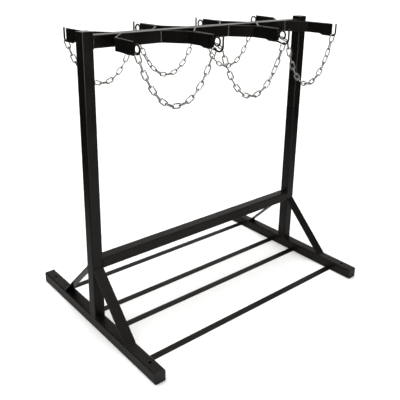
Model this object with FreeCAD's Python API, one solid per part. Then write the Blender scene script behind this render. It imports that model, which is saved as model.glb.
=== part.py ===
import FreeCAD, Part
import math, os
from FreeCAD import Vector as V

# Gas cylinder stand. Millimetres. Origin on the floor at the stand's middle,
# X along the rails, -Y to the front row, Z up.

# square tube shared by feet, uprights and rails
tube_side = 40.0
tube_wall = 2.5
tube_corner = 3.0

# frame
foot_span = 974.0            # centre to centre of the feet
foot_length = 752.0          # over the end caps
foot_hole_d = 10.0
foot_hole_inset = 56.0       # from the outer face of the cap
upright_top = 1024.0
upright_cap_t = 3.0
lower_rail_z = 226.0         # underside
top_rail_drop = 11.5         # below the uprights' tops

# plastic plugs in the feet
cap_lip = 5.0
cap_edge_r = 2.0
cap_plug_depth = 18.0
cap_plug_wall = 2.0
cap_fit = 0.15

# flat braces between upright and foot
brace_t = 4.0
brace_run = 192.0            # along the foot, from the upright's face
brace_rise = 192.0           # above the foot

# flat strips on the floor that tie the feet together
strip_w = 25.0
strip_t = 3.0
inner_strip_y = 64.0
outer_strip_y = 267.0

# cradles bent from flat bar on edge
rows = 3                     # cylinders on each side
cradle_pitch = 297.0
cradle_t = 5.0
cradle_seat = 157.0          # flat that lies on the rail
cradle_flare = 70.0          # depth of the slanted part
cradle_reach = 177.5         # rail face to tip
cradle_splay = 8.0           # arms open out by this much on the way to the tips
cradle_bend_r = 5.0          # inside

# round bar welded to the tips
rod_d = 6.0
eye_bore = 21.0
eye_seat = 0.6               # flat on the eye where it meets the tip
hook_lap = 45.0              # shank under the tip
hook_out = 49.0              # tip to far side's centre line, past an eye
hook_out_end = 17.0          # same where there is no eye
hook_bend_r = 19.0
hook_bend_r_end = 12.0
hook_dip = 6.0               # bend below the shank, past an eye
hook_dip_r = 15.0            # bar turns down at the tip
hook_rise = 1.0              # above the cradle's top edge
hook_tip_r = 1.0

# long-link chain
links = 17
link_wire = 3.5
link_bore_l = 28.0
link_bore_w = 7.0
link_play = 0.25
hang_near_tip = 9.0          # tip to the link hung on the first hook
hang_near_bend = 27.5        # the same on the hooks between
hang_at_end = 5.5            # the same on the short hook
keeper_angle = 45.0          # where the eye's own link rests in the hook's bend
keeper_side = 0.6            # hanging link beside the keeper's middle

half = tube_side / 2
foot_x = foot_span / 2
rail_length = foot_span - tube_side
rail_top = upright_top - top_rail_drop
cradle_z = rail_top - tube_side
tip_y = half + cradle_reach
rod_r = rod_d / 2
eye_r = (eye_bore + rod_d) / 2
eye_y = tip_y + eye_r + rod_r - eye_seat
eye_z = rail_top - half
shank_z = cradle_z - rod_r
wire_r = link_wire / 2


def squared(side, radius):
    h = side / 2
    r = max(min(radius, h - 0.1), 0.05)
    k = r * math.sqrt(0.5)
    edges = []
    for turn in range(4):
        a = math.radians(90 * turn)
        place = lambda x, y: V(x * math.cos(a) - y * math.sin(a), x * math.sin(a) + y * math.cos(a), 0)
        edges.append(Part.makeLine(place(-h + r, -h), place(h - r, -h)))
        edges.append(Part.Arc(place(h - r, -h), place(h - r + k, -h + r - k), place(h, -h + r)).toShape())
    return Part.Face(Part.Wire(edges))


def square_tube(length):
    outer = squared(tube_side, tube_corner)
    inner = squared(tube_side - 2 * tube_wall, tube_corner - tube_wall)
    return outer.cut(inner).extrude(V(0, 0, length))


def along(shape, axis):
    turned = shape.copy()
    if axis == "x":
        turned.rotate(V(0, 0, 0), V(0, 1, 0), 90)
    if axis == "y":
        turned.rotate(V(0, 0, 0), V(1, 0, 0), -90)
    return turned


def moved(shape, x=0.0, y=0.0, z=0.0):
    placed = shape.copy()
    placed.translate(V(x, y, z))
    return placed


def half_turn(shape):
    turned = shape.copy()
    turned.rotate(V(0, 0, 0), V(0, 0, 1), 180)
    return turned


def foot(x):
    length = foot_length - 2 * cap_lip
    body = moved(along(square_tube(length), "y"), x, -length / 2, half)
    y = foot_length / 2 - foot_hole_inset
    for side in (-y, y):
        body = body.cut(Part.makeCylinder(foot_hole_d / 2, tube_side + 2, V(x, side, -1)))
    return body


def foot_cap(x):
    lip = squared(tube_side, tube_corner).extrude(V(0, 0, cap_lip))
    rim = [e for e in lip.Edges if all(abs(p.Point.z) < 1e-6 for p in e.Vertexes)]
    lip = lip.makeFillet(min(cap_edge_r, cap_lip / 2, tube_corner * 0.9), rim)
    side = tube_side - 2 * (tube_wall + cap_fit)
    plug = squared(side, 1.0).cut(squared(side - 2 * cap_plug_wall, 0.5))
    plug = moved(plug.extrude(V(0, 0, cap_plug_depth)), z=cap_lip)
    return moved(along(lip.fuse(plug), "y"), x, -foot_length / 2, half)


def brace(x):
    slope = math.atan2(brace_rise, brace_run)
    up, out = brace_t / math.cos(slope), brace_t / math.sin(slope)
    corners = [(-half, tube_side + brace_rise), (-half - brace_run, tube_side),
               (-half - brace_run + out, tube_side), (-half, tube_side + brace_rise - up)]
    points = [V(x - half, y, z) for y, z in corners]
    return Part.Face(Part.makePolygon(points + points[:1])).extrude(V(tube_side, 0, 0))


def strip(y):
    return Part.makeBox(rail_length, strip_w, strip_t, V(-rail_length / 2, y - strip_w / 2, 0))


def inset_line(points, depth):
    lines = []
    for a, b in zip(points, points[1:]):
        d = (b - a).normalize()
        n = V(d.y, -d.x, 0) * depth
        lines.append((a + n, b + n))
    out = [lines[0][0]]
    for (a, b), (c, d) in zip(lines, lines[1:]):
        u, w = b - a, d - c
        t = ((c.x - a.x) * w.y - (c.y - a.y) * w.x) / (u.x * w.y - u.y * w.x)
        out.append(a + u * t)
    return out + [lines[-1][1]]


def cradle(x):
    side, seat = cradle_pitch / 2, cradle_seat / 2
    arm = cradle_reach - cradle_flare
    past = 1 + cradle_t / arm
    outer = [V(-side + cradle_splay * (1 - past), -half - cradle_flare - arm * past, 0), V(-side + cradle_splay, -half - cradle_flare, 0), V(-seat, -half, 0)]
    outer += [V(-p.x, p.y, 0) for p in outer[::-1]]
    inner = inset_line(outer, cradle_t)
    ring = outer + inner[::-1]
    bar = Part.Face(Part.makePolygon(ring + ring[:1])).extrude(V(0, 0, tube_side))
    bar = bar.cut(Part.makeBox(2 * cradle_pitch, cradle_reach, tube_side, V(-cradle_pitch, -tip_y - cradle_reach, 0)))
    for corners, radius in ((outer[1:-1], cradle_bend_r + cradle_t), (inner[1:-1], cradle_bend_r)):
        bends = [e for e in bar.Edges if len(e.Vertexes) == 2
                 and all(any(math.hypot(p.Point.x - c.x, p.Point.y - c.y) < 1e-4 for c in corners) for p in e.Vertexes)
                 and abs(e.Vertexes[0].Point.z - e.Vertexes[1].Point.z) > 1]
        bar = bar.makeFillet(radius, bends)
    return moved(bar, x, 0, cradle_z)


def eye(x):
    ring = Part.makeTorus(eye_r, rod_r, V(x, -eye_y, eye_z), V(1, 0, 0))
    room = 4 * (eye_r + rod_r)
    return ring.cut(Part.makeBox(room, room, room, V(x - room / 2, -tip_y, eye_z - room / 2)))


def hook_form(out, bend, dip):
    rise, run = bend + hook_dip_r - dip, out - bend
    slope = math.asin((bend + hook_dip_r) / math.hypot(rise, run)) - math.atan2(rise, run) if dip else 0.0
    turn = V(0, -tip_y, shank_z - hook_dip_r)
    hub = V(0, -tip_y - run, shank_z - dip + bend)
    return slope, turn, hub


def on_arc(centre, radius, angle):
    return centre + V(0, -math.sin(angle), math.cos(angle)) * radius


def hook_height(out, bend, dip, past_tip):
    slope, turn, hub = hook_form(out, bend, dip)
    y = -tip_y - past_tip
    from_hub = hub.y - y
    if from_hub > -bend * math.sin(slope):
        return hub.z - math.sqrt(bend ** 2 - from_hub ** 2)
    down = on_arc(turn, hook_dip_r, slope)
    return down.z + (y - down.y) * math.tan(slope)


def hook(x, out, bend, dip):
    slope, turn, hub = hook_form(out, bend, dip)
    start, top = -tip_y + hook_lap, rail_top + hook_rise
    arcs = [(turn, hook_dip_r, 0.0, slope)] if dip else []
    arcs += [(hub, bend, math.pi + slope, math.pi / 2)]
    at, path = V(0, start, shank_z), []
    for centre, radius, a, b in arcs:
        points = [on_arc(centre, radius, t) for t in (a, (a + b) / 2, b)]
        path += [Part.makeLine(at, points[0]), Part.Arc(*points).toShape()]
        at = points[2]
    path.append(Part.makeLine(at, V(0, at.y, top)))
    section = Part.Wire(Part.makeCircle(rod_r, V(0, start, shank_z), V(0, -1, 0)))
    bar = Part.Wire(path).makePipeShell([section], True, False)
    ends = [e for e in bar.Edges if len(e.Vertexes) == 1 and
            (abs(e.BoundBox.ZMin - top) < 1e-4 or abs(e.BoundBox.YMin - start) < 1e-4)]
    return moved(bar.makeFillet(hook_tip_r, ends), x)


def hang(first, last, lengths):
    span = math.hypot(last.x - first.x, last.y - first.y)
    drop = last.z - first.z

    def reach(pull, lift):
        across = down = 0.0
        for i, length in enumerate(lengths):
            rise = lift - i - 0.5
            scale = length / math.hypot(pull, rise)
            across += pull * scale
            down += rise * scale
        return across - span, -down - drop

    pull, lift = links / 4.0, links / 2.0
    for _ in range(60):
        a, b = reach(pull, lift)
        e = 1e-5
        ap, bp = reach(pull + e, lift)
        al, bl = reach(pull, lift + e)
        j = [(ap - a) / e, (al - a) / e, (bp - b) / e, (bl - b) / e]
        det = j[0] * j[3] - j[1] * j[2]
        step = [(a * j[3] - b * j[1]) / det, (b * j[0] - a * j[2]) / det]
        near = min(1.0, 0.4 * pull / (abs(step[0]) + 1e-12))
        pull, lift = pull - near * step[0], lift - near * step[1]
    forward = V(last.x - first.x, last.y - first.y, 0).normalize()
    points = [first]
    for i, length in enumerate(lengths):
        rise = lift - i - 0.5
        d = (forward * pull - V(0, 0, rise)).normalize()
        points.append(points[-1] + d * length)
    return points, forward


def link():
    radius = link_bore_w / 2 + wire_r
    straight = link_bore_l / 2 - link_bore_w / 2
    corner = radius * math.tan(math.radians(22.5))
    quarter = [(radius, straight + corner), (corner, straight + radius)]
    path = quarter + [(-x, y) for x, y in quarter[::-1]]
    path += [(-x, -y) for x, y in path]
    rings = []
    for i, (x, y) in enumerate(path):
        px, py = path[i - 1]
        nx, ny = path[(i + 1) % len(path)]
        a = math.atan2(y - py, x - px)
        b = math.atan2(ny - y, nx - x)
        middle = a + ((b - a + math.pi) % (2 * math.pi) - math.pi) / 2
        stretch = 1 / math.cos(middle - a)
        out = V(math.sin(middle), -math.cos(middle), 0)
        rings.append([V(x, y, 0) + out * (wire_r * math.cos(t) * stretch) + V(0, 0, wire_r * math.sin(t))
                      for t in (math.radians(60 * s) for s in range(6))])
    faces = []
    for i, ring in enumerate(rings):
        after = rings[(i + 1) % len(rings)]
        for s in range(6):
            t = (s + 1) % 6
            faces.append(Part.Face(Part.makePolygon([ring[s], ring[t], after[t], after[s], ring[s]])))
    solid = Part.Solid(Part.Shell(faces))
    if solid.Volume < 0:
        solid.reverse()
    return solid


def placed_link(centre, along_link, across):
    normal = across.cross(along_link)
    piece = link()
    piece.Placement = FreeCAD.Placement(FreeCAD.Matrix(
        across.x, along_link.x, normal.x, centre.x,
        across.y, along_link.y, normal.y, centre.y,
        across.z, along_link.z, normal.z, centre.z,
        0, 0, 0, 1))
    return piece


def chain(first, first_r, first_turn, last, last_r):
    first_length = link_bore_l - first_r - 1.5 * link_play
    last_length = link_bore_l - last_r - 1.5 * link_play
    points, forward = hang(first, last, [first_length] + [link_bore_l - link_play] * (links - 2) + [last_length])
    side = V(-forward.y, forward.x, 0)
    twist = (first_turn + 90 * (links - 1)) % 180 / (links - 1.0)
    solids = []
    for i, (a, b) in enumerate(zip(points, points[1:])):
        d = (b - a).normalize()
        centre = (a + b) * 0.5
        if i == 0:
            centre = a + d * (link_bore_l / 2 - first_r - link_play)
        if i == links - 1:
            centre = b - d * (link_bore_l / 2 - last_r - link_play)
        turn = math.radians(first_turn + i * (90 - twist))
        across = d.cross(side) * math.cos(turn) + side * math.sin(turn)
        solids.append(placed_link(centre, d, across))
    return Part.makeCompound(solids)


def keeper(x):
    slope, turn, bend = hook_form(hook_out, hook_bend_r, hook_dip)
    a = math.radians(keeper_angle)
    inside = hook_bend_r - rod_r - link_play - wire_r
    outer = V(x, bend.y - inside * math.sin(a), bend.z - inside * math.cos(a))
    hub = V(x, -eye_y, eye_z)
    reach = eye_bore / 2 - link_play - wire_r
    length = link_bore_l + link_wire
    gap = (hub - outer).Length
    swing = math.acos((gap ** 2 + length ** 2 - reach ** 2) / (2 * gap * length))
    d = (hub - outer).normalize()
    d = V(0, d.y * math.cos(swing) + d.z * math.sin(swing), d.z * math.cos(swing) - d.y * math.sin(swing))
    return placed_link(outer + d * (length / 2), d, V(1, 0, 0)), outer


def build():
    nodes = {}
    for name, x in (("left", -foot_x), ("right", foot_x)):
        nodes["foot_" + name] = foot(x)
        nodes["foot_cap_%s_front" % name] = foot_cap(x)
        nodes["foot_cap_%s_back" % name] = half_turn(foot_cap(-x))
        nodes["upright_" + name] = moved(square_tube(upright_top - upright_cap_t - tube_side), x, 0, tube_side)
        nodes["upright_cap_" + name] = moved(squared(tube_side, tube_corner).extrude(V(0, 0, upright_cap_t)), x, 0, upright_top - upright_cap_t)
        nodes["brace_%s_front" % name] = brace(x)
        nodes["brace_%s_back" % name] = half_turn(brace(-x))
    rail = moved(along(square_tube(rail_length), "x"), -rail_length / 2)
    nodes["lower_rail"] = moved(rail, z=lower_rail_z + half)
    nodes["top_rail"] = moved(rail, z=rail_top - half)
    for name, y in (("front_outer", -outer_strip_y), ("front_inner", -inner_strip_y), ("back_inner", inner_strip_y), ("back_outer", outer_strip_y)):
        nodes["floor_strip_" + name] = strip(y)

    hung = [hang_near_tip] + [hang_near_bend] * (rows - 2) + [hang_at_end]
    for k in range(rows):
        middle = (k - (rows - 1) / 2) * cradle_pitch
        eye_x = middle - (cradle_pitch - cradle_t) / 2
        hook_x = middle + (cradle_pitch - cradle_t) / 2
        form = (hook_out_end, hook_bend_r_end, 0.0) if k == rows - 1 else (hook_out, hook_bend_r, hook_dip)
        made = {"cradle": cradle(middle), "eye": eye(eye_x), "hook": hook(hook_x, *form)}
        first, first_r, first_turn = V(eye_x, -eye_y, eye_z - eye_r), rod_r, 0
        if k > 0:
            made["eye_link"], first = keeper(eye_x)
            first, first_r, first_turn = first + V(keeper_side, 0, 0), wire_r, 90
        last = V(hook_x, -tip_y - hung[k], hook_height(*form, hung[k]))
        made["chain"] = chain(first, first_r, first_turn, last, rod_r)
        for kind, shape in made.items():
            nodes["%s_front_%d" % (kind, k + 1)] = shape
            nodes["%s_back_%d" % (kind, k + 1)] = half_turn(shape)
    return nodes


os.makedirs("parts", exist_ok=True)
for node, shape in build().items():
    shape.exportStep("parts/%s.step" % node)
    print(node, len(shape.Solids), round(shape.Volume / 1000, 2), "cm3", shape.isValid())
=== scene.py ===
import math
import random

import bmesh
import bpy
import numpy as np
from mathutils import Matrix, Vector


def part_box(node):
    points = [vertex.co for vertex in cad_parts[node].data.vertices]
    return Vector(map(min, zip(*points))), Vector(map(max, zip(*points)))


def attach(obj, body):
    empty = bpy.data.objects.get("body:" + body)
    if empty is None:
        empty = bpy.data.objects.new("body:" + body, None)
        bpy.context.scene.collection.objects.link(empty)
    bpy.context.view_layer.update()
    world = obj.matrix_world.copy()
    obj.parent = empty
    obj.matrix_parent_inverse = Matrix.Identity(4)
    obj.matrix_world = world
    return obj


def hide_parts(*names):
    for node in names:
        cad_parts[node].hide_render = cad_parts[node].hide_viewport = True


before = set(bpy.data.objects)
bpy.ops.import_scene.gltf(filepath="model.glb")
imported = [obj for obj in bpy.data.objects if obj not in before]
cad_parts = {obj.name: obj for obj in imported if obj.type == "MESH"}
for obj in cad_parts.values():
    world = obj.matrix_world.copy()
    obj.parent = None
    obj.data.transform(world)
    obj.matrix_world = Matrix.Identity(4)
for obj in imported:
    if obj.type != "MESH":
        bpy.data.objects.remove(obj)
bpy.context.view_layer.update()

mm = 0.001
tiny = 1e-6                             # m, points this close are one
rows = ("front", "back")
sides = ("left", "right")
outward = {"front": -1, "back": 1}      # each row's way out, along y


def linear(hexColour):
    parts = [int(hexColour[i:i + 2], 16) / 255 for i in (1, 3, 5)]
    return tuple(p / 12.92 if p <= 0.04045 else ((p + 0.055) / 1.055) ** 2.4 for p in parts) + (1.0,)


def addNode(tree, kind, inputs=None, **settings):
    node = tree.nodes.new(kind)
    for name, value in settings.items():
        setattr(node, name, value)
    for name, value in (inputs or {}).items():
        if isinstance(value, bpy.types.NodeSocket):
            tree.links.new(value, node.inputs[name])
        else:
            node.inputs[name].default_value = value
    return node


def newMaterial(name):
    material = bpy.data.materials.new(name)
    material.use_nodes = True
    tree = material.node_tree
    return material, tree, tree.nodes["Principled BSDF"]


# polyester powder, sprayed on and baked: a deep black with soft, blurred lights and a faint orange peel
powderCoat = {
    "colour": "#0b0a0a",
    "paleColour": "#100f0f",
    "roughness": (0.27, 0.36),
    "ior": 1.5,
    "specular": 0.45,
    "tint": "#fff7ed",          # lights on it look slightly warm
    "peelSize": 1.6,            # mm, one bump of the orange peel
    "peelDepth": 0.035,         # mm
    "peelStrength": 0.35,
    "hazeSize": 90,             # mm, uneven film
    "hazeSpan": (0.3, 0.7),
}


def makePowderCoat(values):
    material, tree, shader = newMaterial("semiGlossBlackPowderCoat")
    place = addNode(tree, "ShaderNodeTexCoord").outputs["Object"]
    haze = addNode(tree, "ShaderNodeTexNoise", {
        "Vector": place, "Scale": 1 / (values["hazeSize"] * mm), "Detail": 3.0}).outputs["Fac"]
    peel = addNode(tree, "ShaderNodeTexNoise", {
        "Vector": place, "Scale": 1 / (values["peelSize"] * mm), "Detail": 1.5, "Roughness": 0.4})
    colour = addNode(tree, "ShaderNodeMix", {
        0: haze, 6: linear(values["colour"]), 7: linear(values["paleColour"])}, data_type="RGBA")
    gloss = addNode(tree, "ShaderNodeMapRange", {
        "Value": haze, "From Min": values["hazeSpan"][0], "From Max": values["hazeSpan"][1],
        "To Min": values["roughness"][0], "To Max": values["roughness"][1]})
    bump = addNode(tree, "ShaderNodeBump", {
        "Height": peel.outputs["Fac"], "Strength": values["peelStrength"], "Distance": values["peelDepth"] * mm})
    tree.links.new(colour.outputs[2], shader.inputs["Base Color"])
    tree.links.new(gloss.outputs["Result"], shader.inputs["Roughness"])
    tree.links.new(bump.outputs["Normal"], shader.inputs["Normal"])
    shader.inputs["IOR"].default_value = values["ior"]
    shader.inputs["Specular IOR Level"].default_value = values["specular"]
    shader.inputs["Specular Tint"].default_value = linear(values["tint"])
    return material


# injection-moulded polyethylene: a duller, slightly greyer black than the paint beside it
plugPlastic = {
    "colour": "#141413",
    "roughness": 0.42,
    "ior": 1.51,
    "grainSize": 0.45,          # mm, the mould's spark-eroded grain, drawn coarser than real to show close up
    "grainDepth": 0.02,         # mm
    "grainStrength": 0.3,
}


def makePlugPlastic(values):
    material, tree, shader = newMaterial("blackPolyethylene")
    place = addNode(tree, "ShaderNodeTexCoord").outputs["Object"]
    grain = addNode(tree, "ShaderNodeTexNoise", {
        "Vector": place, "Scale": 1 / (values["grainSize"] * mm), "Detail": 2.0})
    bump = addNode(tree, "ShaderNodeBump", {
        "Height": grain.outputs["Fac"], "Strength": values["grainStrength"], "Distance": values["grainDepth"] * mm})
    tree.links.new(bump.outputs["Normal"], shader.inputs["Normal"])
    shader.inputs["Base Color"].default_value = linear(values["colour"])
    shader.inputs["Roughness"].default_value = values["roughness"]
    shader.inputs["IOR"].default_value = values["ior"]
    return material


# steel wire, barrel plated in bright zinc: silvery with blurred lights, a little straw-coloured in places
zincPlate = {
    "colour": "#c6c5c2",
    "warmColour": "#b8b3aa",    # the passivated film's patches
    "warmSpan": (0.45, 0.75),
    "roughness": (0.28, 0.46),
    "patchSize": 5,             # mm
    "patchSpan": (0.3, 0.7),
}


def makeZincPlate(values):
    material, tree, shader = newMaterial("brightZincPlatedSteel")
    place = addNode(tree, "ShaderNodeTexCoord").outputs["Object"]
    patch = addNode(tree, "ShaderNodeTexNoise", {
        "Vector": place, "Scale": 1 / (values["patchSize"] * mm), "Detail": 3.0}).outputs["Fac"]
    tint = addNode(tree, "ShaderNodeMapRange", {
        "Value": patch, "From Min": values["warmSpan"][0], "From Max": values["warmSpan"][1]})
    colour = addNode(tree, "ShaderNodeMix", {
        0: tint.outputs["Result"], 6: linear(values["colour"]), 7: linear(values["warmColour"])}, data_type="RGBA")
    gloss = addNode(tree, "ShaderNodeMapRange", {
        "Value": patch, "From Min": values["patchSpan"][0], "From Max": values["patchSpan"][1],
        "To Min": values["roughness"][0], "To Max": values["roughness"][1]})
    tree.links.new(colour.outputs[2], shader.inputs["Base Color"])
    tree.links.new(gloss.outputs["Result"], shader.inputs["Roughness"])
    shader.inputs["Metallic"].default_value = 1.0
    return material


coat = makePowderCoat(powderCoat)
plastic = makePlugPlastic(plugPlastic)
zinc = makeZincPlate(zincPlate)
print("finishes made")

tube = {
    "side": 40 * mm,
    "wall": 2.5 * mm,
    "corner": 4.5 * mm,
    "cornerSteps": 6,
}
rolledSteps = 3                         # across the rolled edge of a flat bar
alongX = Matrix.Rotation(math.radians(90), 4, "Y")
alongY = Matrix.Rotation(math.radians(-90), 4, "X")


def finishPiece(name, bm, material, nodes=(), body="frame", edge=0.0, sharpAt=35):
    # lines sharper than sharpAt degrees are rounded by edge, or shade sharp where there is none
    bmesh.ops.recalc_face_normals(bm, faces=bm.faces[:])
    for line in bm.edges:
        line.smooth = edge > 0 or line.calc_face_angle(0.0) < math.radians(sharpAt)
    for face in bm.faces:
        face.smooth = True
    mesh = bpy.data.meshes.new(name)
    bm.to_mesh(mesh)
    bm.free()
    mesh.materials.append(material)
    piece = bpy.data.objects.new(name, mesh)
    bpy.context.scene.collection.objects.link(piece)
    if edge:
        rounding = piece.modifiers.new("edges", "BEVEL")
        rounding.width, rounding.segments, rounding.limit_method = edge, rolledSteps, "ANGLE"
        rounding.angle_limit = math.radians(sharpAt)
    piece.modifiers.new("flatFaces", "WEIGHTED_NORMAL").keep_sharp = True
    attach(piece, body)
    if nodes:
        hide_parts(*nodes)
    return piece


def only(made, kind):
    return [part for part in made["geom"] if isinstance(part, kind)]


def loopOf(verts):
    return list(dict.fromkeys(line for vert in verts for line in vert.link_edges))


def vertsOf(lines):
    return list(dict.fromkeys(vert for line in lines for vert in line.verts))


def everything(bm):
    return bm.verts[:] + bm.edges[:] + bm.faces[:]


def bevel(bm, parts, width, steps, affect="EDGES"):
    bmesh.ops.bevel(bm, geom=parts, offset=width, offset_type="OFFSET", segments=steps,
                    profile=0.5, affect=affect, material=-1)


def squareFace(bm):
    # the tube's outline, filled
    corners = bmesh.ops.create_grid(bm, x_segments=1, y_segments=1, size=tube["side"] / 2)["verts"]
    bevel(bm, corners, tube["corner"], tube["cornerSteps"], affect="VERTICES")
    bm.faces.ensure_lookup_table()
    return bm.faces[0]


def pushFace(bm, face, distance):
    made = bmesh.ops.extrude_face_region(bm, geom=[face])
    bmesh.ops.translate(bm, verts=only(made, bmesh.types.BMVert), vec=(0, 0, distance))
    return only(made, bmesh.types.BMFace)[0]


def squareTube(bm, length):
    face = squareFace(bm)
    wallEnd = bmesh.ops.inset_region(bm, faces=[face], thickness=tube["wall"], use_even_offset=True, use_boundary=True)
    bmesh.ops.delete(bm, geom=[face], context="FACES")
    made = bmesh.ops.extrude_face_region(bm, geom=wallEnd["faces"])
    bmesh.ops.translate(bm, verts=only(made, bmesh.types.BMVert), vec=(0, 0, length))


def drawOn(bm, ring, vec):
    # a bar's open end, drawn on straight
    made = bmesh.ops.extrude_edge_only(bm, edges=ring)
    verts = only(made, bmesh.types.BMVert)
    bmesh.ops.translate(bm, verts=verts, vec=vec)
    return [line for line in only(made, bmesh.types.BMEdge) if all(v in verts for v in line.verts)], verts


def bendOn(bm, ring, centre, axis, degrees, steps):
    # a bar's open end, bent on round a centre
    made = bmesh.ops.spin(bm, geom=ring, cent=centre, axis=axis, angle=math.radians(degrees), steps=steps,
                          use_merge=False, use_duplicate=False)
    return [part for part in made["geom_last"] if isinstance(part, bmesh.types.BMEdge)]


def halfTurn(bm, row):
    # the back row is the front row turned half round the upright axis
    if row == "back":
        bmesh.ops.rotate(bm, verts=bm.verts, cent=(0, 0, 0), matrix=Matrix.Rotation(math.pi, 3, "Z"))


# feet: square tube with bolt holes and a moulded plug in each end
foot = {
    "holeAcross": 10 * mm,
    "holeInset": 56 * mm,       # from the plug's outer face
    "holeSides": 40,
    "patch": 14 * mm,           # half of the flat that the hole is cut in
    "margin": 2 * mm,           # two rings of faces round the hole
    "deburr": 0.3 * mm,
    "endBreak": 0.5 * mm,       # sawn ends are linished before the plugs go in
    "breakSteps": 2,
}


def wallHole(bm, y, up):
    # one hole through the upper or the lower wall
    rims = []
    for depth in (0, tube["wall"]):
        middle = Vector((0, y, up * (tube["side"] / 2 - depth)))
        level = [f for f in bm.faces if abs(f.normal.z) > 0.99]
        face = min(level, key=lambda f: (f.calc_center_median() - middle).length)
        bmesh.ops.inset_individual(bm, faces=[face], thickness=foot["margin"])
        bmesh.ops.subdivide_edges(bm, edges=list(face.edges), cuts=foot["holeSides"] // 4 - 1)
        bmesh.ops.inset_individual(bm, faces=[face], thickness=foot["margin"])
        for vert in face.verts:
            vert.co = middle + (vert.co - middle).normalized() * foot["holeAcross"] / 2
        rims.append(list(face.edges))
        bmesh.ops.delete(bm, geom=[face], context="FACES_ONLY")
    made = bmesh.ops.extrude_edge_only(bm, edges=rims[0])
    wallEnd = only(made, bmesh.types.BMVert)
    bmesh.ops.translate(bm, verts=wallEnd, vec=(0, 0, -up * tube["wall"]))
    bmesh.ops.remove_doubles(bm, verts=wallEnd + vertsOf(rims[1]), dist=tiny)
    bmesh.ops.recalc_face_normals(bm, faces=bm.faces[:])
    bevel(bm, rims[0], foot["deburr"], foot["breakSteps"])


def sawnRims(bm, endY):
    # outer edges of both end faces; a corner's arc stays within 0.3 of its radius of the flats
    rims, outside = [], tube["side"] / 2 - tube["corner"] * 0.4
    for line in bm.edges:
        atEnd = all(abs(abs(v.co.y) - endY) < tiny for v in line.verts)
        onRim = min(max(abs(v.co.x), abs(v.co.z)) for v in line.verts) > outside
        if atEnd and onRim and len({round(f.normal.y) for f in line.link_faces}) > 1:
            rims.append(line)
    return rims


for side in sides:
    low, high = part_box("foot_" + side)
    holeY = -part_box("foot_cap_%s_front" % side)[0].y - foot["holeInset"]
    bm = bmesh.new()
    squareTube(bm, high.y - low.y)
    bmesh.ops.translate(bm, verts=bm.verts, vec=(0, 0, low.y))
    bmesh.ops.transform(bm, verts=bm.verts, matrix=alongY)
    for y in (-holeY, holeY):
        for cut in (y - foot["patch"], y + foot["patch"]):
            bmesh.ops.bisect_plane(bm, geom=everything(bm), plane_co=(0, cut, 0), plane_no=(0, 1, 0))
    bm.normal_update()
    for y in (-holeY, holeY):
        for up in (1, -1):
            wallHole(bm, y, up)
    bevel(bm, sawnRims(bm, high.y), foot["endBreak"], foot["breakSteps"])
    bmesh.ops.translate(bm, verts=bm.verts, vec=((low.x + high.x) / 2, 0, (low.z + high.z) / 2))
    finishPiece("%sFootTube" % side, bm, coat, ["foot_" + side])

plug = {
    "lip": 5 * mm,
    "edge": 3 * mm,
    "edgeSteps": 5,
    "backEdge": 0.5 * mm,
    "backEdgeSteps": 2,
    "overhang": 2.15 * mm,      # from the back edge to the skirt inside the tube
    "depth": 18 * mm,
    "skirt": 2 * mm,
}


def footPlug(bm):
    # outer face up, tube's end at z = 0
    front = pushFace(bm, squareFace(bm), plug["lip"])
    back = min(bm.faces, key=lambda f: f.calc_center_median().z)
    bevel(bm, list(front.edges), plug["edge"], plug["edgeSteps"])
    bevel(bm, list(back.edges), plug["backEdge"], plug["backEdgeSteps"])
    back = min(bm.faces, key=lambda f: f.calc_center_median().z)
    bmesh.ops.inset_individual(bm, faces=[back], thickness=plug["overhang"])
    back = pushFace(bm, back, -plug["depth"])
    bmesh.ops.inset_individual(bm, faces=[back], thickness=plug["skirt"])
    pushFace(bm, back, plug["depth"] - plug["skirt"])


for side in sides:
    for row in rows:
        name = "foot_cap_%s_%s" % (side, row)
        low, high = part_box(name)
        out = outward[row]
        outer = low.y if row == "front" else high.y
        bm = bmesh.new()
        footPlug(bm)
        bmesh.ops.rotate(bm, verts=bm.verts, matrix=Matrix.Rotation(math.radians(-90 * out), 3, "X"))
        seat = ((low.x + high.x) / 2, outer - out * plug["lip"], (low.z + high.z) / 2)
        bmesh.ops.translate(bm, verts=bm.verts, vec=seat)
        finishPiece("%s%sFootPlug" % (side, row.capitalize()), bm, plastic, [name])
print("feet made")

# uprights, each with a welded plate on top, and the two rails between them
topPlate = {"edge": 1 * mm, "edgeSteps": 4}

for side in sides:
    low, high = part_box("upright_" + side)
    bm = bmesh.new()
    squareTube(bm, high.z - low.z)
    bmesh.ops.translate(bm, verts=bm.verts, vec=((low.x + high.x) / 2, 0, low.z))
    finishPiece("%sUpright" % side, bm, coat, ["upright_" + side])
    low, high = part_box("upright_cap_" + side)
    bm = bmesh.new()
    top = pushFace(bm, squareFace(bm), high.z - low.z)
    bevel(bm, list(top.edges), topPlate["edge"], topPlate["edgeSteps"])
    bmesh.ops.translate(bm, verts=bm.verts, vec=((low.x + high.x) / 2, 0, low.z))
    finishPiece("%sUprightTop" % side, bm, coat, ["upright_cap_" + side])

railNames = {"lower_rail": "lowerRail", "top_rail": "topRail"}

for node, name in railNames.items():
    low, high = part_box(node)
    bm = bmesh.new()
    squareTube(bm, high.x - low.x)
    bmesh.ops.transform(bm, verts=bm.verts, matrix=alongX)
    bmesh.ops.translate(bm, verts=bm.verts, vec=(low.x, 0, (low.z + high.z) / 2))
    finishPiece(name, bm, coat, [node])
print("uprights and rails made")

# braces and floor strips of flat bar
flatBar = {
    "braceThick": 4 * mm,
    "edge": 0.7 * mm,
}
stripNames = {"front_outer": "frontOuter", "front_inner": "frontInner",
              "back_inner": "backInner", "back_outer": "backOuter"}


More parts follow.
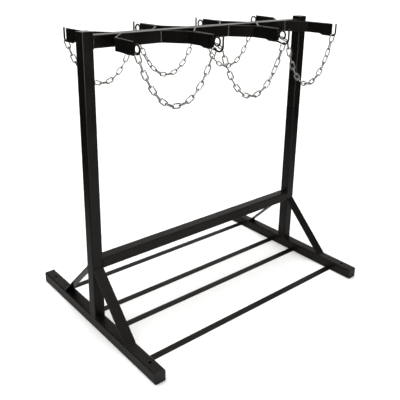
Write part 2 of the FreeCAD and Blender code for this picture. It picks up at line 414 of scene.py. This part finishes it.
def braceSide(side, row):
    # the brace's box, and its side's corners in (y, z): outer top, outer foot, inner foot, inner top
    low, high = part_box("brace_%s_%s" % (side, row))
    near, far = (high.y, low.y) if row == "front" else (low.y, high.y)
    step = flatBar["braceThick"] * math.sqrt(2)     # of its slanting cut
    return low, high, [(near, high.z), (far, low.z), (far - outward[row] * step, low.z), (near, high.z - step)]


for side in sides:
    for row in rows:
        low, high, corners = braceSide(side, row)
        bm = bmesh.new()
        face = bm.faces.new([bm.verts.new((low.x, y, z)) for y, z in corners])
        made = bmesh.ops.extrude_face_region(bm, geom=[face])
        bmesh.ops.translate(bm, verts=only(made, bmesh.types.BMVert), vec=(high.x - low.x, 0, 0))
        finishPiece("%s%sBrace" % (side, row.capitalize()), bm, coat,
                    ["brace_%s_%s" % (side, row)], edge=flatBar["edge"])

for place, name in stripNames.items():
    low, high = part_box("floor_strip_" + place)
    bm = bmesh.new()
    bmesh.ops.create_cube(bm, size=1.0, matrix=Matrix.Translation((low + high) / 2) @ Matrix.Diagonal((*(high - low), 1)))
    finishPiece("%sFloorStrip" % name, bm, coat, ["floor_strip_" + place], edge=flatBar["edge"])
print("braces and strips made")

# cradles of flat bar on edge, bent four times
cradle = {
    "thick": 5 * mm,
    "seat": 157 * mm,
    "flare": 70 * mm,
    "splay": 8 * mm,            # arms open out towards the tips
    "bend": 10 * mm,            # outside radius
    "bendSteps": 8,
    "edge": 0.6 * mm,
}

for row in rows:
    for k in (1, 2, 3):
        low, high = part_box("cradle_front_%d" % k)
        middle, half = (low.x + high.x) / 2, cradle["seat"] / 2
        arm, splay = high.y - cradle["flare"] - low.y, cradle["splay"]
        past = 1 + cradle["thick"] / arm    # a little too long, then cut square at the tip
        bends = [(low.x + splay * (1 - past), low.y - cradle["thick"]),
                 (low.x + splay, low.y + arm), (middle - half, high.y)]
        bends += [(2 * middle - x, y) for x, y in bends[::-1]]
        bm = bmesh.new()
        line = [bm.verts.new((x, y, low.z)) for x, y in bends]
        for a, b in zip(line, line[1:]):
            bm.edges.new((a, b))
        for i in (1, 2, 3, 4):
            before, corner, after = (Vector(bends[j]) for j in (i - 1, i, i + 1))
            turn = (corner - before).angle(after - corner)
            bevel(bm, [line[i]], cradle["bend"] * math.tan(turn / 2), cradle["bendSteps"], affect="VERTICES")
        made = bmesh.ops.extrude_edge_only(bm, edges=bm.edges[:])
        bmesh.ops.translate(bm, verts=only(made, bmesh.types.BMVert), vec=(0, 0, high.z - low.z))
        bmesh.ops.recalc_face_normals(bm, faces=bm.faces[:])
        if max(bm.faces, key=lambda f: f.calc_center_median().y).normal.y < 0:
            bmesh.ops.reverse_faces(bm, faces=bm.faces[:])
        bmesh.ops.solidify(bm, geom=bm.faces[:], thickness=cradle["thick"])
        bmesh.ops.bisect_plane(bm, geom=everything(bm), plane_co=(0, low.y, 0), plane_no=(0, -1, 0), clear_outer=True)
        bmesh.ops.holes_fill(bm, edges=[edge for edge in bm.edges if edge.is_boundary], sides=4)
        halfTurn(bm, row)
        finishPiece("%sCradle%d" % (row, k), bm, coat, ["cradle_%s_%d" % (row, k)], edge=cradle["edge"])
print("cradles made")

# eyes and hooks of round bar at the tips
roundBar = {
    "radius": 3 * mm,
    "sides": 16,
    "eyeRing": 13.5 * mm,       # centre line
    "eyeSteps": 40,
    "longBend": 19 * mm,
    "shortBend": 12 * mm,
    "bendSteps": 14,
    "dip": 6 * mm,              # long hooks sag below the tip
    "dipBend": 15 * mm,
    "dipSteps": 6,
    "lap": 45 * mm,             # shank under the tip
    "nose": 1.2 * mm,
    "noseSteps": 4,
}


def barEnd(bm, place):
    ring = bmesh.ops.create_circle(bm, segments=roundBar["sides"], radius=roundBar["radius"], matrix=place)
    return loopOf(ring["verts"])


def bentBar(bm, place, moves):
    # a move is a straight vector, or a bend's (centre, degrees, steps) about the x axis
    first = ring = barEnd(bm, place)
    for move in moves:
        if isinstance(move, tuple):
            ring = bendOn(bm, ring, move[0], (1, 0, 0), move[1], move[2])
        else:
            ring = drawOn(bm, ring, move)[0]
    for opening in (first, ring):
        bmesh.ops.contextual_create(bm, geom=opening)
    bevel(bm, first + ring, roundBar["nose"], roundBar["noseSteps"])


for row in rows:
    for k in (1, 2, 3):
        low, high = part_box("eye_front_%d" % k)
        ringRadius = roundBar["eyeRing"]
        hub = Vector(((low.x + high.x) / 2, low.y + roundBar["radius"] + ringRadius, (low.z + high.z) / 2))
        bm = bmesh.new()
        ring = barEnd(bm, Matrix.Translation(hub + Vector((0, -ringRadius, 0))))
        bmesh.ops.spin(bm, geom=ring, cent=hub, axis=(1, 0, 0), angle=math.tau, steps=roundBar["eyeSteps"],
                       use_merge=True, use_duplicate=False)
        bmesh.ops.remove_doubles(bm, verts=bm.verts, dist=tiny)
        halfTurn(bm, row)
        finishPiece("%sEye%d" % (row, k), bm, coat, ["eye_%s_%d" % (row, k)])

        low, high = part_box("hook_front_%d" % k)
        x, leg = (low.x + high.x) / 2, low.y + roundBar["radius"]
        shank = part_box("cradle_front_%d" % k)[0].z - roundBar["radius"]
        bend, dip = (roundBar["shortBend"], 0.0) if k == 3 else (roundBar["longBend"], roundBar["dip"])
        tip = high.y - roundBar["lap"]
        hub, slope = Vector((x, leg + bend, shank - dip + bend)), 0.0
        root, at = Vector((x, high.y, shank)), Vector((x, tip, shank))
        moves = [at - root]
        if dip:
            run, rise = tip - hub.y, bend + roundBar["dipBend"] - dip
            slope = math.asin((bend + roundBar["dipBend"]) / math.hypot(rise, run)) - math.atan2(rise, run)
            turn = at - Vector((0, 0, roundBar["dipBend"]))
            moves.append((turn, math.degrees(slope), roundBar["dipSteps"]))
            at = turn + Vector((0, -math.sin(slope), math.cos(slope))) * roundBar["dipBend"]
        bottom = hub + Vector((0, math.sin(slope), -math.cos(slope))) * bend
        moves.append(bottom - at)
        moves.append((hub, -90 - math.degrees(slope), roundBar["bendSteps"]))
        moves.append(Vector((0, 0, high.z - hub.z)))
        bm = bmesh.new()
        bentBar(bm, Matrix.Translation(root) @ Matrix.Rotation(math.pi / 2, 4, "X"), moves)
        halfTurn(bm, row)
        finishPiece("%sHook%d" % (row, k), bm, coat, ["hook_%s_%d" % (row, k)])
print("eyes and hooks made")

# weld beads, painted over with the frame
weld = {
    "ripple": 3 * mm,
    "furrow": 0.74,             # size between two ripples
    "endSize": 0.4,
    "lean": 28,                 # degrees, ripples trail behind on the outside
    "unevenness": 0.07,
    "sides": 8,
    "fillet": 3.1 * mm,
    "flush": 2.0 * mm,          # in the groove beside a tube's rounded corner
    "small": 1.5 * mm,
    "stitch": 30 * mm,
    "tack": 6 * mm,             # half of the one beside an eye
    "beside": 0.8,              # of the round bar's radius
    "inset": 4 * mm,            # from the end of a joint
    "sunk": 1.6 * mm,           # into a groove
    "drift": 2 * mm,            # sideways along a hook's shank
    "lift": 1 * mm,             # over the shank's end
}
hand = random.Random(11)


def weldBead(bm, start, end, out, radius):
    start, run = Vector(start), Vector(end) - Vector(start)
    lean = Matrix.Rotation(math.radians(weld["lean"]), 4, run.cross(Vector(out)))
    place = Matrix.Translation(start) @ lean @ run.to_track_quat("Z", "Y").to_matrix().to_4x4()
    ring = loopOf(bmesh.ops.create_circle(bm, segments=weld["sides"], radius=radius, matrix=place)["verts"])
    first, steps = ring, 2 * max(2, round(run.length / weld["ripple"]))
    grown = [1 if i % 2 else weld["furrow"] for i in range(steps + 1)]
    grown[0] = grown[-1] = weld["endSize"]
    bmesh.ops.scale(bm, verts=vertsOf(ring), vec=[grown[0]] * 3, space=Matrix.Translation(-start))
    for i in range(1, steps + 1):
        ring, verts = drawOn(bm, ring, run / steps)
        factor = grown[i] / grown[i - 1] * hand.uniform(1 - weld["unevenness"], 1 + weld["unevenness"])
        grown[i] = grown[i - 1] * factor
        bmesh.ops.scale(bm, verts=verts, vec=[factor] * 3, space=Matrix.Translation(-start - run * i / steps))
    for opening in (first, ring):
        bmesh.ops.contextual_create(bm, geom=opening)


def weldPiece(name, beads):
    bm = bmesh.new()
    for start, end, out, radius in beads:
        weldBead(bm, start, end, out, radius)
    finishPiece(name, bm, coat, sharpAt=60)


inset, sunk, fillet = weld["inset"], weld["sunk"], weld["fillet"]
for side in sides:
    low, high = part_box("upright_" + side)
    beads = []
    for y, out in ((low.y, -1), (high.y, 1)):
        beads.append(((low.x + inset, y, low.z), (high.x - inset, y, low.z), (0, out, 1), fillet))
    for x, out in ((low.x + sunk, -1), (high.x - sunk, 1)):
        beads.append(((x, low.y + inset, low.z - sunk), (x, high.y - inset, low.z - sunk), (out, 0, 0), weld["flush"]))
    weldPiece("%sUprightWelds" % side, beads)

for node, name in railNames.items():
    low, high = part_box(node)
    beads = []
    for end, into in ((low.x, 1), (high.x, -1)):
        for z, out in ((low.z, -1), (high.z, 1)):
            beads.append(((end, low.y + inset, z), (end, high.y - inset, z), (into, 0, out), fillet))
        x = end + into * sunk / 2
        for y, out in ((low.y + sunk / 2, -1), (high.y - sunk / 2, 1)):
            beads.append(((x, y, low.z + inset), (x, y, high.z - inset), (0, out, 0), fillet))
    weldPiece("%sWelds" % name, beads)

for side in sides:
    beads = []
    for row in rows:
        low, high, (outerTop, outerFoot, innerFoot, innerTop) = braceSide(side, row)
        out = outward[row]
        for (y, z), facing in ((outerTop, (0, out, 2)), (innerTop, (0, out, -1)),
                               (outerFoot, (0, out, 1)), (innerFoot, (0, -out, 1))):
            beads.append(((low.x + inset / 4, y, z), (high.x - inset / 4, y, z), facing, fillet))
    weldPiece("%sBraceWelds" % side, beads)

beads = []
for place in stripNames:
    low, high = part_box("floor_strip_" + place)
    for x, into in ((low.x, 1), (high.x, -1)):
        beads.append(((x, low.y + inset / 2, high.z), (x, high.y - inset / 2, high.z), (into, 0, 1), weld["small"]))
weldPiece("floorStripWelds", beads)


def turnedBead(row, start, end, out, radius):
    # given for the front row, turned half round for the back one
    turned = -outward[row]
    return [Vector((turned * v[0], turned * v[1], v[2])) for v in (start, end, out)] + [radius]


for row in rows:
    beads = []
    for k in (1, 2, 3):
        low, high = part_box("cradle_front_%d" % k)
        middle, half = (low.x + high.x) / 2, cradle["seat"] / 2
        y = high.y + sunk / 2
        for z, out in ((low.z + sunk, -1), (high.z - sunk, 1)):
            for away in (-1, 1):
                x = middle + away * (half - 2 * inset)
                beads.append(turnedBead(row, (x, y, z), (x - away * weld["stitch"], y, z), (0, 0, out), weld["flush"]))
        if k < 3:
            tip = (high.x, low.y)
            beads.append(turnedBead(row, (*tip, low.z + inset), (*tip, high.z - inset), (0, -1, 0), weld["small"]))
        eyeLow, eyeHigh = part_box("eye_front_%d" % k)
        z, beside = (eyeLow.z + eyeHigh.z) / 2, roundBar["radius"] * weld["beside"]
        for away in (-1, 1):
            x = (eyeLow.x + eyeHigh.x) / 2 + away * beside
            start, end = (x, low.y, z - weld["tack"]), (x, low.y, z + weld["tack"])
            beads.append(turnedBead(row, start, end, (away, -1, 0), weld["small"]))
        hookLow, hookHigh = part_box("hook_front_%d" % k)
        middle, root = (hookLow.x + hookHigh.x) / 2, hookHigh.y - inset
        for away in (-1, 1):
            x = middle + away * beside
            start, end = (x, low.y + inset / 2, low.z), (x - weld["drift"], root, low.z)
            beads.append(turnedBead(row, start, end, (away, 0, -1), weld["small"]))
        # a short bead closes the shank's sawn end
        start = (middle - weld["drift"] / 2, root, low.z - roundBar["radius"] / 2)
        end = (middle - weld["drift"] * 1.5, root + 3 * inset, low.z + weld["lift"])
        beads.append(turnedBead(row, start, end, (0, 1, -1), roundBar["radius"]))
    weldPiece("%sCradleWelds" % row, beads)
print("welds made")

# chains, each link where the CAD has it
link = {
    "wire": 3.9 * mm,
    "inside": (10.2 * mm, 28 * mm),
    "sides": 12,
    "endSteps": 12,
    "seam": 0.9 * mm,           # butt weld on one side of each link
    "seamSwell": 1.14,
    "facing": (0.62, 0.78, 0),  # way that every other link's flat side looks
    "twistFrom": 0.55,          # part of the chain after which a keeper-hung one turns on to meet its hook
}


def linkShape():
    wire, (across, length) = link["wire"], link["inside"]
    end = (across + wire) / 2
    half = (length + wire) / 2 - end
    bm = bmesh.new()
    place = Matrix.Translation((end, -half, 0)) @ alongY
    ring = loopOf(bmesh.ops.create_circle(bm, segments=link["sides"], radius=wire / 2, matrix=place)["verts"])
    seam = link["seam"]
    plain = half - 1.5 * seam
    for step, swell in ((plain, 1), (seam, link["seamSwell"]), (seam, 1), (seam, 1), (plain, 1)):
        ring, verts = drawOn(bm, ring, (0, step, 0))
        middle = sum((v.co for v in verts), Vector()) / len(verts)
        bmesh.ops.scale(bm, verts=verts, vec=(swell, 1, swell), space=Matrix.Translation(-middle))
    ring = bendOn(bm, ring, (0, half, 0), (0, 0, 1), 180, link["endSteps"])
    ring = drawOn(bm, ring, (0, -2 * half, 0))[0]
    bendOn(bm, ring, (0, -half, 0), (0, 0, 1), 180, link["endSteps"])
    bmesh.ops.remove_doubles(bm, verts=bm.verts, dist=tiny)
    mesh = bpy.data.meshes.new("oneLink")
    bm.to_mesh(mesh)
    bm.free()
    return mesh


def linkPlaces(node):
    # centre, length axis and width axis of each CAD link, from its own corners
    bm = bmesh.new()
    bm.from_mesh(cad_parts[node].data)
    bmesh.ops.remove_doubles(bm, verts=bm.verts, dist=tiny)
    seen, places = set(), []
    for first in bm.verts:
        if first in seen:
            continue
        island, queue = [], [first]
        seen.add(first)
        while queue:
            vert = queue.pop()
            island.append(vert.co[:])
            for line in vert.link_edges:
                other = line.other_vert(vert)
                if other not in seen:
                    seen.add(other)
                    queue.append(other)
        points = np.array(island)
        middle = points.mean(0)
        axes = np.linalg.eigh(np.cov((points - middle).T))[1]
        places.append((Vector(middle), Vector(axes[:, 2]), Vector(axes[:, 1])))
    bm.free()
    return places


def linkMatrix(middle, along, across):
    return Matrix([*zip(across, along, across.cross(along), middle), (0, 0, 0, 1)])


def hangingLinks(node, row, hungOnKeeper):
    # from eye to hook; the chain lies turned about its own line, so that every other link shows its flat side
    way = -outward[row]
    places = sorted(linkPlaces(node), key=lambda place: place[0].x * way)
    matrices = []
    for i, (middle, along, across) in enumerate(places):
        along = along * (way if along.x > 0 else -way)
        face = Vector(link["facing"])
        face = (face - along * face.dot(along)).normalized()
        done = max(0.0, i / (len(places) - 1) - link["twistFrom"]) / (1 - link["twistFrom"])
        turn = 90 * (i % 2)
        if hungOnKeeper:
            turn += 90 * (1 - done * done * (3 - 2 * done))
        face = Matrix.Rotation(math.radians(turn), 3, along) @ face
        matrices.append(linkMatrix(middle, along, along.cross(face)))
    return matrices


oneLink = linkShape()
for row in rows:
    for k in (1, 2, 3):
        chain, keeper = "chain_%s_%d" % (row, k), "eye_link_%s_%d" % (row, k)
        laid = [("%sChain%d" % (row, k), chain, chain, hangingLinks(chain, row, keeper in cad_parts))]
        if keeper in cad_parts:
            kept = [linkMatrix(*place) for place in linkPlaces(keeper)]
            laid.append(("%sEyeLink%d" % (row, k), keeper, "frame", kept))
        for name, node, body, matrices in laid:
            bm = bmesh.new()
            for matrix in matrices:
                before = len(bm.verts)
                bm.from_mesh(oneLink)
                bm.verts.ensure_lookup_table()
                bmesh.ops.transform(bm, verts=bm.verts[before:], matrix=matrix)
            finishPiece(name, bm, zinc, [node], body=body)
bpy.data.meshes.remove(oneLink)
print("chains made")

# studio: matt pale floor; in the paint's reflections it shows a painted pool of light round the stand, its colour
# painted darker towards black further out
floorSheet = {
    "half": 40,                         # m
    "colour": "#f4f4f3",
    "roughness": 0.9,
    "specular": 0.1,
    "paintedPoolMiddle": (0.2, -0.3, 0),
    "paintedPoolEdge": (0.6, 2.3),             # m
    # painted brightness of the floor as the paint reflects it, inside the pool and far out
    "paintedPool": (0.31, 0.012),
}

bm = bmesh.new()
bmesh.ops.create_grid(bm, x_segments=1, y_segments=1, size=floorSheet["half"])
mesh = bpy.data.meshes.new("studioFloor")
bm.to_mesh(mesh)
bm.free()
floor = bpy.data.objects.new("studioFloor", mesh)
bpy.context.scene.collection.objects.link(floor)
material, tree, shader = newMaterial("matPaleFloor")
shader.inputs["Roughness"].default_value = floorSheet["roughness"]
shader.inputs["Specular IOR Level"].default_value = floorSheet["specular"]
place = addNode(tree, "ShaderNodeTexCoord")
away = addNode(tree, "ShaderNodeVectorMath", {
    0: place.outputs["Object"], 1: floorSheet["paintedPoolMiddle"]}, operation="DISTANCE")
paintedPool = addNode(tree, "ShaderNodeMapRange", {
    "Value": away.outputs["Value"], "From Min": floorSheet["paintedPoolEdge"][0], "From Max": floorSheet["paintedPoolEdge"][1],
    "To Min": floorSheet["paintedPool"][0], "To Max": floorSheet["paintedPool"][1]}, interpolation_type="SMOOTHSTEP")
# the floor's colour with the painted pool of light, darker away from the stand
paintedPoolColour = addNode(tree, "ShaderNodeMix", {
    0: paintedPool.outputs["Result"], 6: (0, 0, 0, 1), 7: linear(floorSheet["colour"])}, data_type="RGBA")
# glossy rays see the painted pool, all other rays see the even pale floor
ray = addNode(tree, "ShaderNodeLightPath")
colour = addNode(tree, "ShaderNodeMix", {
    0: ray.outputs["Is Glossy Ray"], 6: linear(floorSheet["colour"]), 7: paintedPoolColour.outputs[2]}, data_type="RGBA")
tree.links.new(colour.outputs[2], shader.inputs["Base Color"])
mesh.materials.append(material)

# a lit white wall at the back right, dark elsewhere, and a cloth overhead; heights are of a direction, 1 is straight up
backdrop = {
    "colour": "#fffdfa",
    "wall": (0.76, 0.6, 0.24),
    "wallEdge": (0.3, 0.85),
    "darkSide": 0.03,
    "brightSide": 1.25,
    "ceiling": 0.14,
    "ceilingFrom": (0.1, 0.45),
    "canopy": 0.62,
    "canopyFrom": (0.6, 0.78),
    "seen": 1.1,                        # pure white behind the stand
}

world = bpy.data.worlds.new("studio")
bpy.context.scene.world = world
world.use_nodes = True
tree = world.node_tree
place = addNode(tree, "ShaderNodeTexCoord")
facing = addNode(tree, "ShaderNodeVectorMath", {
    0: place.outputs["Generated"], 1: backdrop["wall"]}, operation="DOT_PRODUCT")
level = addNode(tree, "ShaderNodeMapRange", {
    "Value": facing.outputs["Value"], "From Min": backdrop["wallEdge"][0], "From Max": backdrop["wallEdge"][1],
    "To Min": backdrop["darkSide"], "To Max": backdrop["brightSide"]}, interpolation_type="SMOOTHSTEP")
height = addNode(tree, "ShaderNodeSeparateXYZ", {"Vector": place.outputs["Generated"]})
above = addNode(tree, "ShaderNodeMapRange", {
    "Value": height.outputs["Z"], "From Min": backdrop["ceilingFrom"][0], "From Max": backdrop["ceilingFrom"][1],
    "To Min": 1.0, "To Max": backdrop["ceiling"]}, interpolation_type="SMOOTHSTEP")
glow = addNode(tree, "ShaderNodeMath", {0: level.outputs["Result"], 1: above.outputs["Result"]}, operation="MULTIPLY")
canopy = addNode(tree, "ShaderNodeMapRange", {
    "Value": height.outputs["Z"], "From Min": backdrop["canopyFrom"][0], "From Max": backdrop["canopyFrom"][1],
    "To Min": 0.0, "To Max": backdrop["canopy"]}, interpolation_type="SMOOTHSTEP")
total = addNode(tree, "ShaderNodeMath", {0: glow.outputs["Value"], 1: canopy.outputs["Result"]}, operation="ADD")
ray = addNode(tree, "ShaderNodeLightPath")
seen = addNode(tree, "ShaderNodeMix", {
    0: ray.outputs["Is Camera Ray"], 2: total.outputs["Value"], 3: backdrop["seen"]}, data_type="FLOAT")
tree.nodes["Background"].inputs["Color"].default_value = linear(backdrop["colour"])
tree.links.new(seen.outputs[0], tree.nodes["Background"].inputs["Strength"])

frontStrip = {"place": (-0.45, -3.3, 0.75), "target": (0, 0, 0.75), "size": (0.5, 1.4), "power": 42}
highBox = {"place": (-1.2, -1.4, 3.0), "target": (0, 0, 0.8), "size": (0.9, 0.9), "power": 24}
overhead = {"tilt": (-8, -6), "power": 3.5, "spread": 55}      # degrees


def softBox(name, values):
    # shows only as lights on the paint and the links
    light = bpy.data.lights.new(name, "AREA")
    light.shape, light.energy = "RECTANGLE", values["power"]
    light.size, light.size_y = values["size"]
    box = bpy.data.objects.new(name, light)
    box.location = values["place"]
    aim = Vector(values["target"]) - Vector(values["place"])
    box.rotation_euler = aim.to_track_quat("-Z", "Y").to_euler()
    box.visible_diffuse = False
    bpy.context.scene.collection.objects.link(box)


softBox("frontStrip", frontStrip)
softBox("highBox", highBox)
light = bpy.data.lights.new("overhead", "SUN")
light.energy, light.angle = overhead["power"], math.radians(overhead["spread"])
lamp = bpy.data.objects.new("overhead", light)
lamp.rotation_euler = (math.radians(overhead["tilt"][0]), math.radians(overhead["tilt"][1]), 0)
bpy.context.scene.collection.objects.link(lamp)
lamp.visible_glossy = False

# camera, fitted to the photograph
camera = {
    "eye": (-1.3120, -1.5100, 1.2264),
    "turn": 39.95,              # degrees from +Y towards +X
    "down": 18.60,
    "roll": -0.888,
    "lens": 50.45,
    "sensor": 36,
    "shift": (0.0109, -0.1258),
    "clipEnd": 200,
}
turn, down, roll = (math.radians(camera[key]) for key in ("turn", "down", "roll"))
ahead = Vector((math.sin(turn) * math.cos(down), math.cos(turn) * math.cos(down), -math.sin(down)))
right = Vector((math.cos(turn), -math.sin(turn), 0))
below = ahead.cross(right)
across = math.cos(roll) * right + math.sin(roll) * below
up = math.sin(roll) * right - math.cos(roll) * below
view = bpy.data.cameras.new("photoCamera")
view.lens, view.sensor_width = camera["lens"], camera["sensor"]
view.shift_x, view.shift_y = camera["shift"]
view.clip_end = camera["clipEnd"]
photoCamera = bpy.data.objects.new("photoCamera", view)
photoCamera.matrix_world = Matrix.Translation(camera["eye"]) @ Matrix((across, up, -ahead)).transposed().to_4x4()
bpy.context.scene.collection.objects.link(photoCamera)
bpy.context.scene.camera = photoCamera
bpy.context.scene.view_settings.view_transform = "Standard"
print("studio and camera made")

bpy.context.view_layer.update()
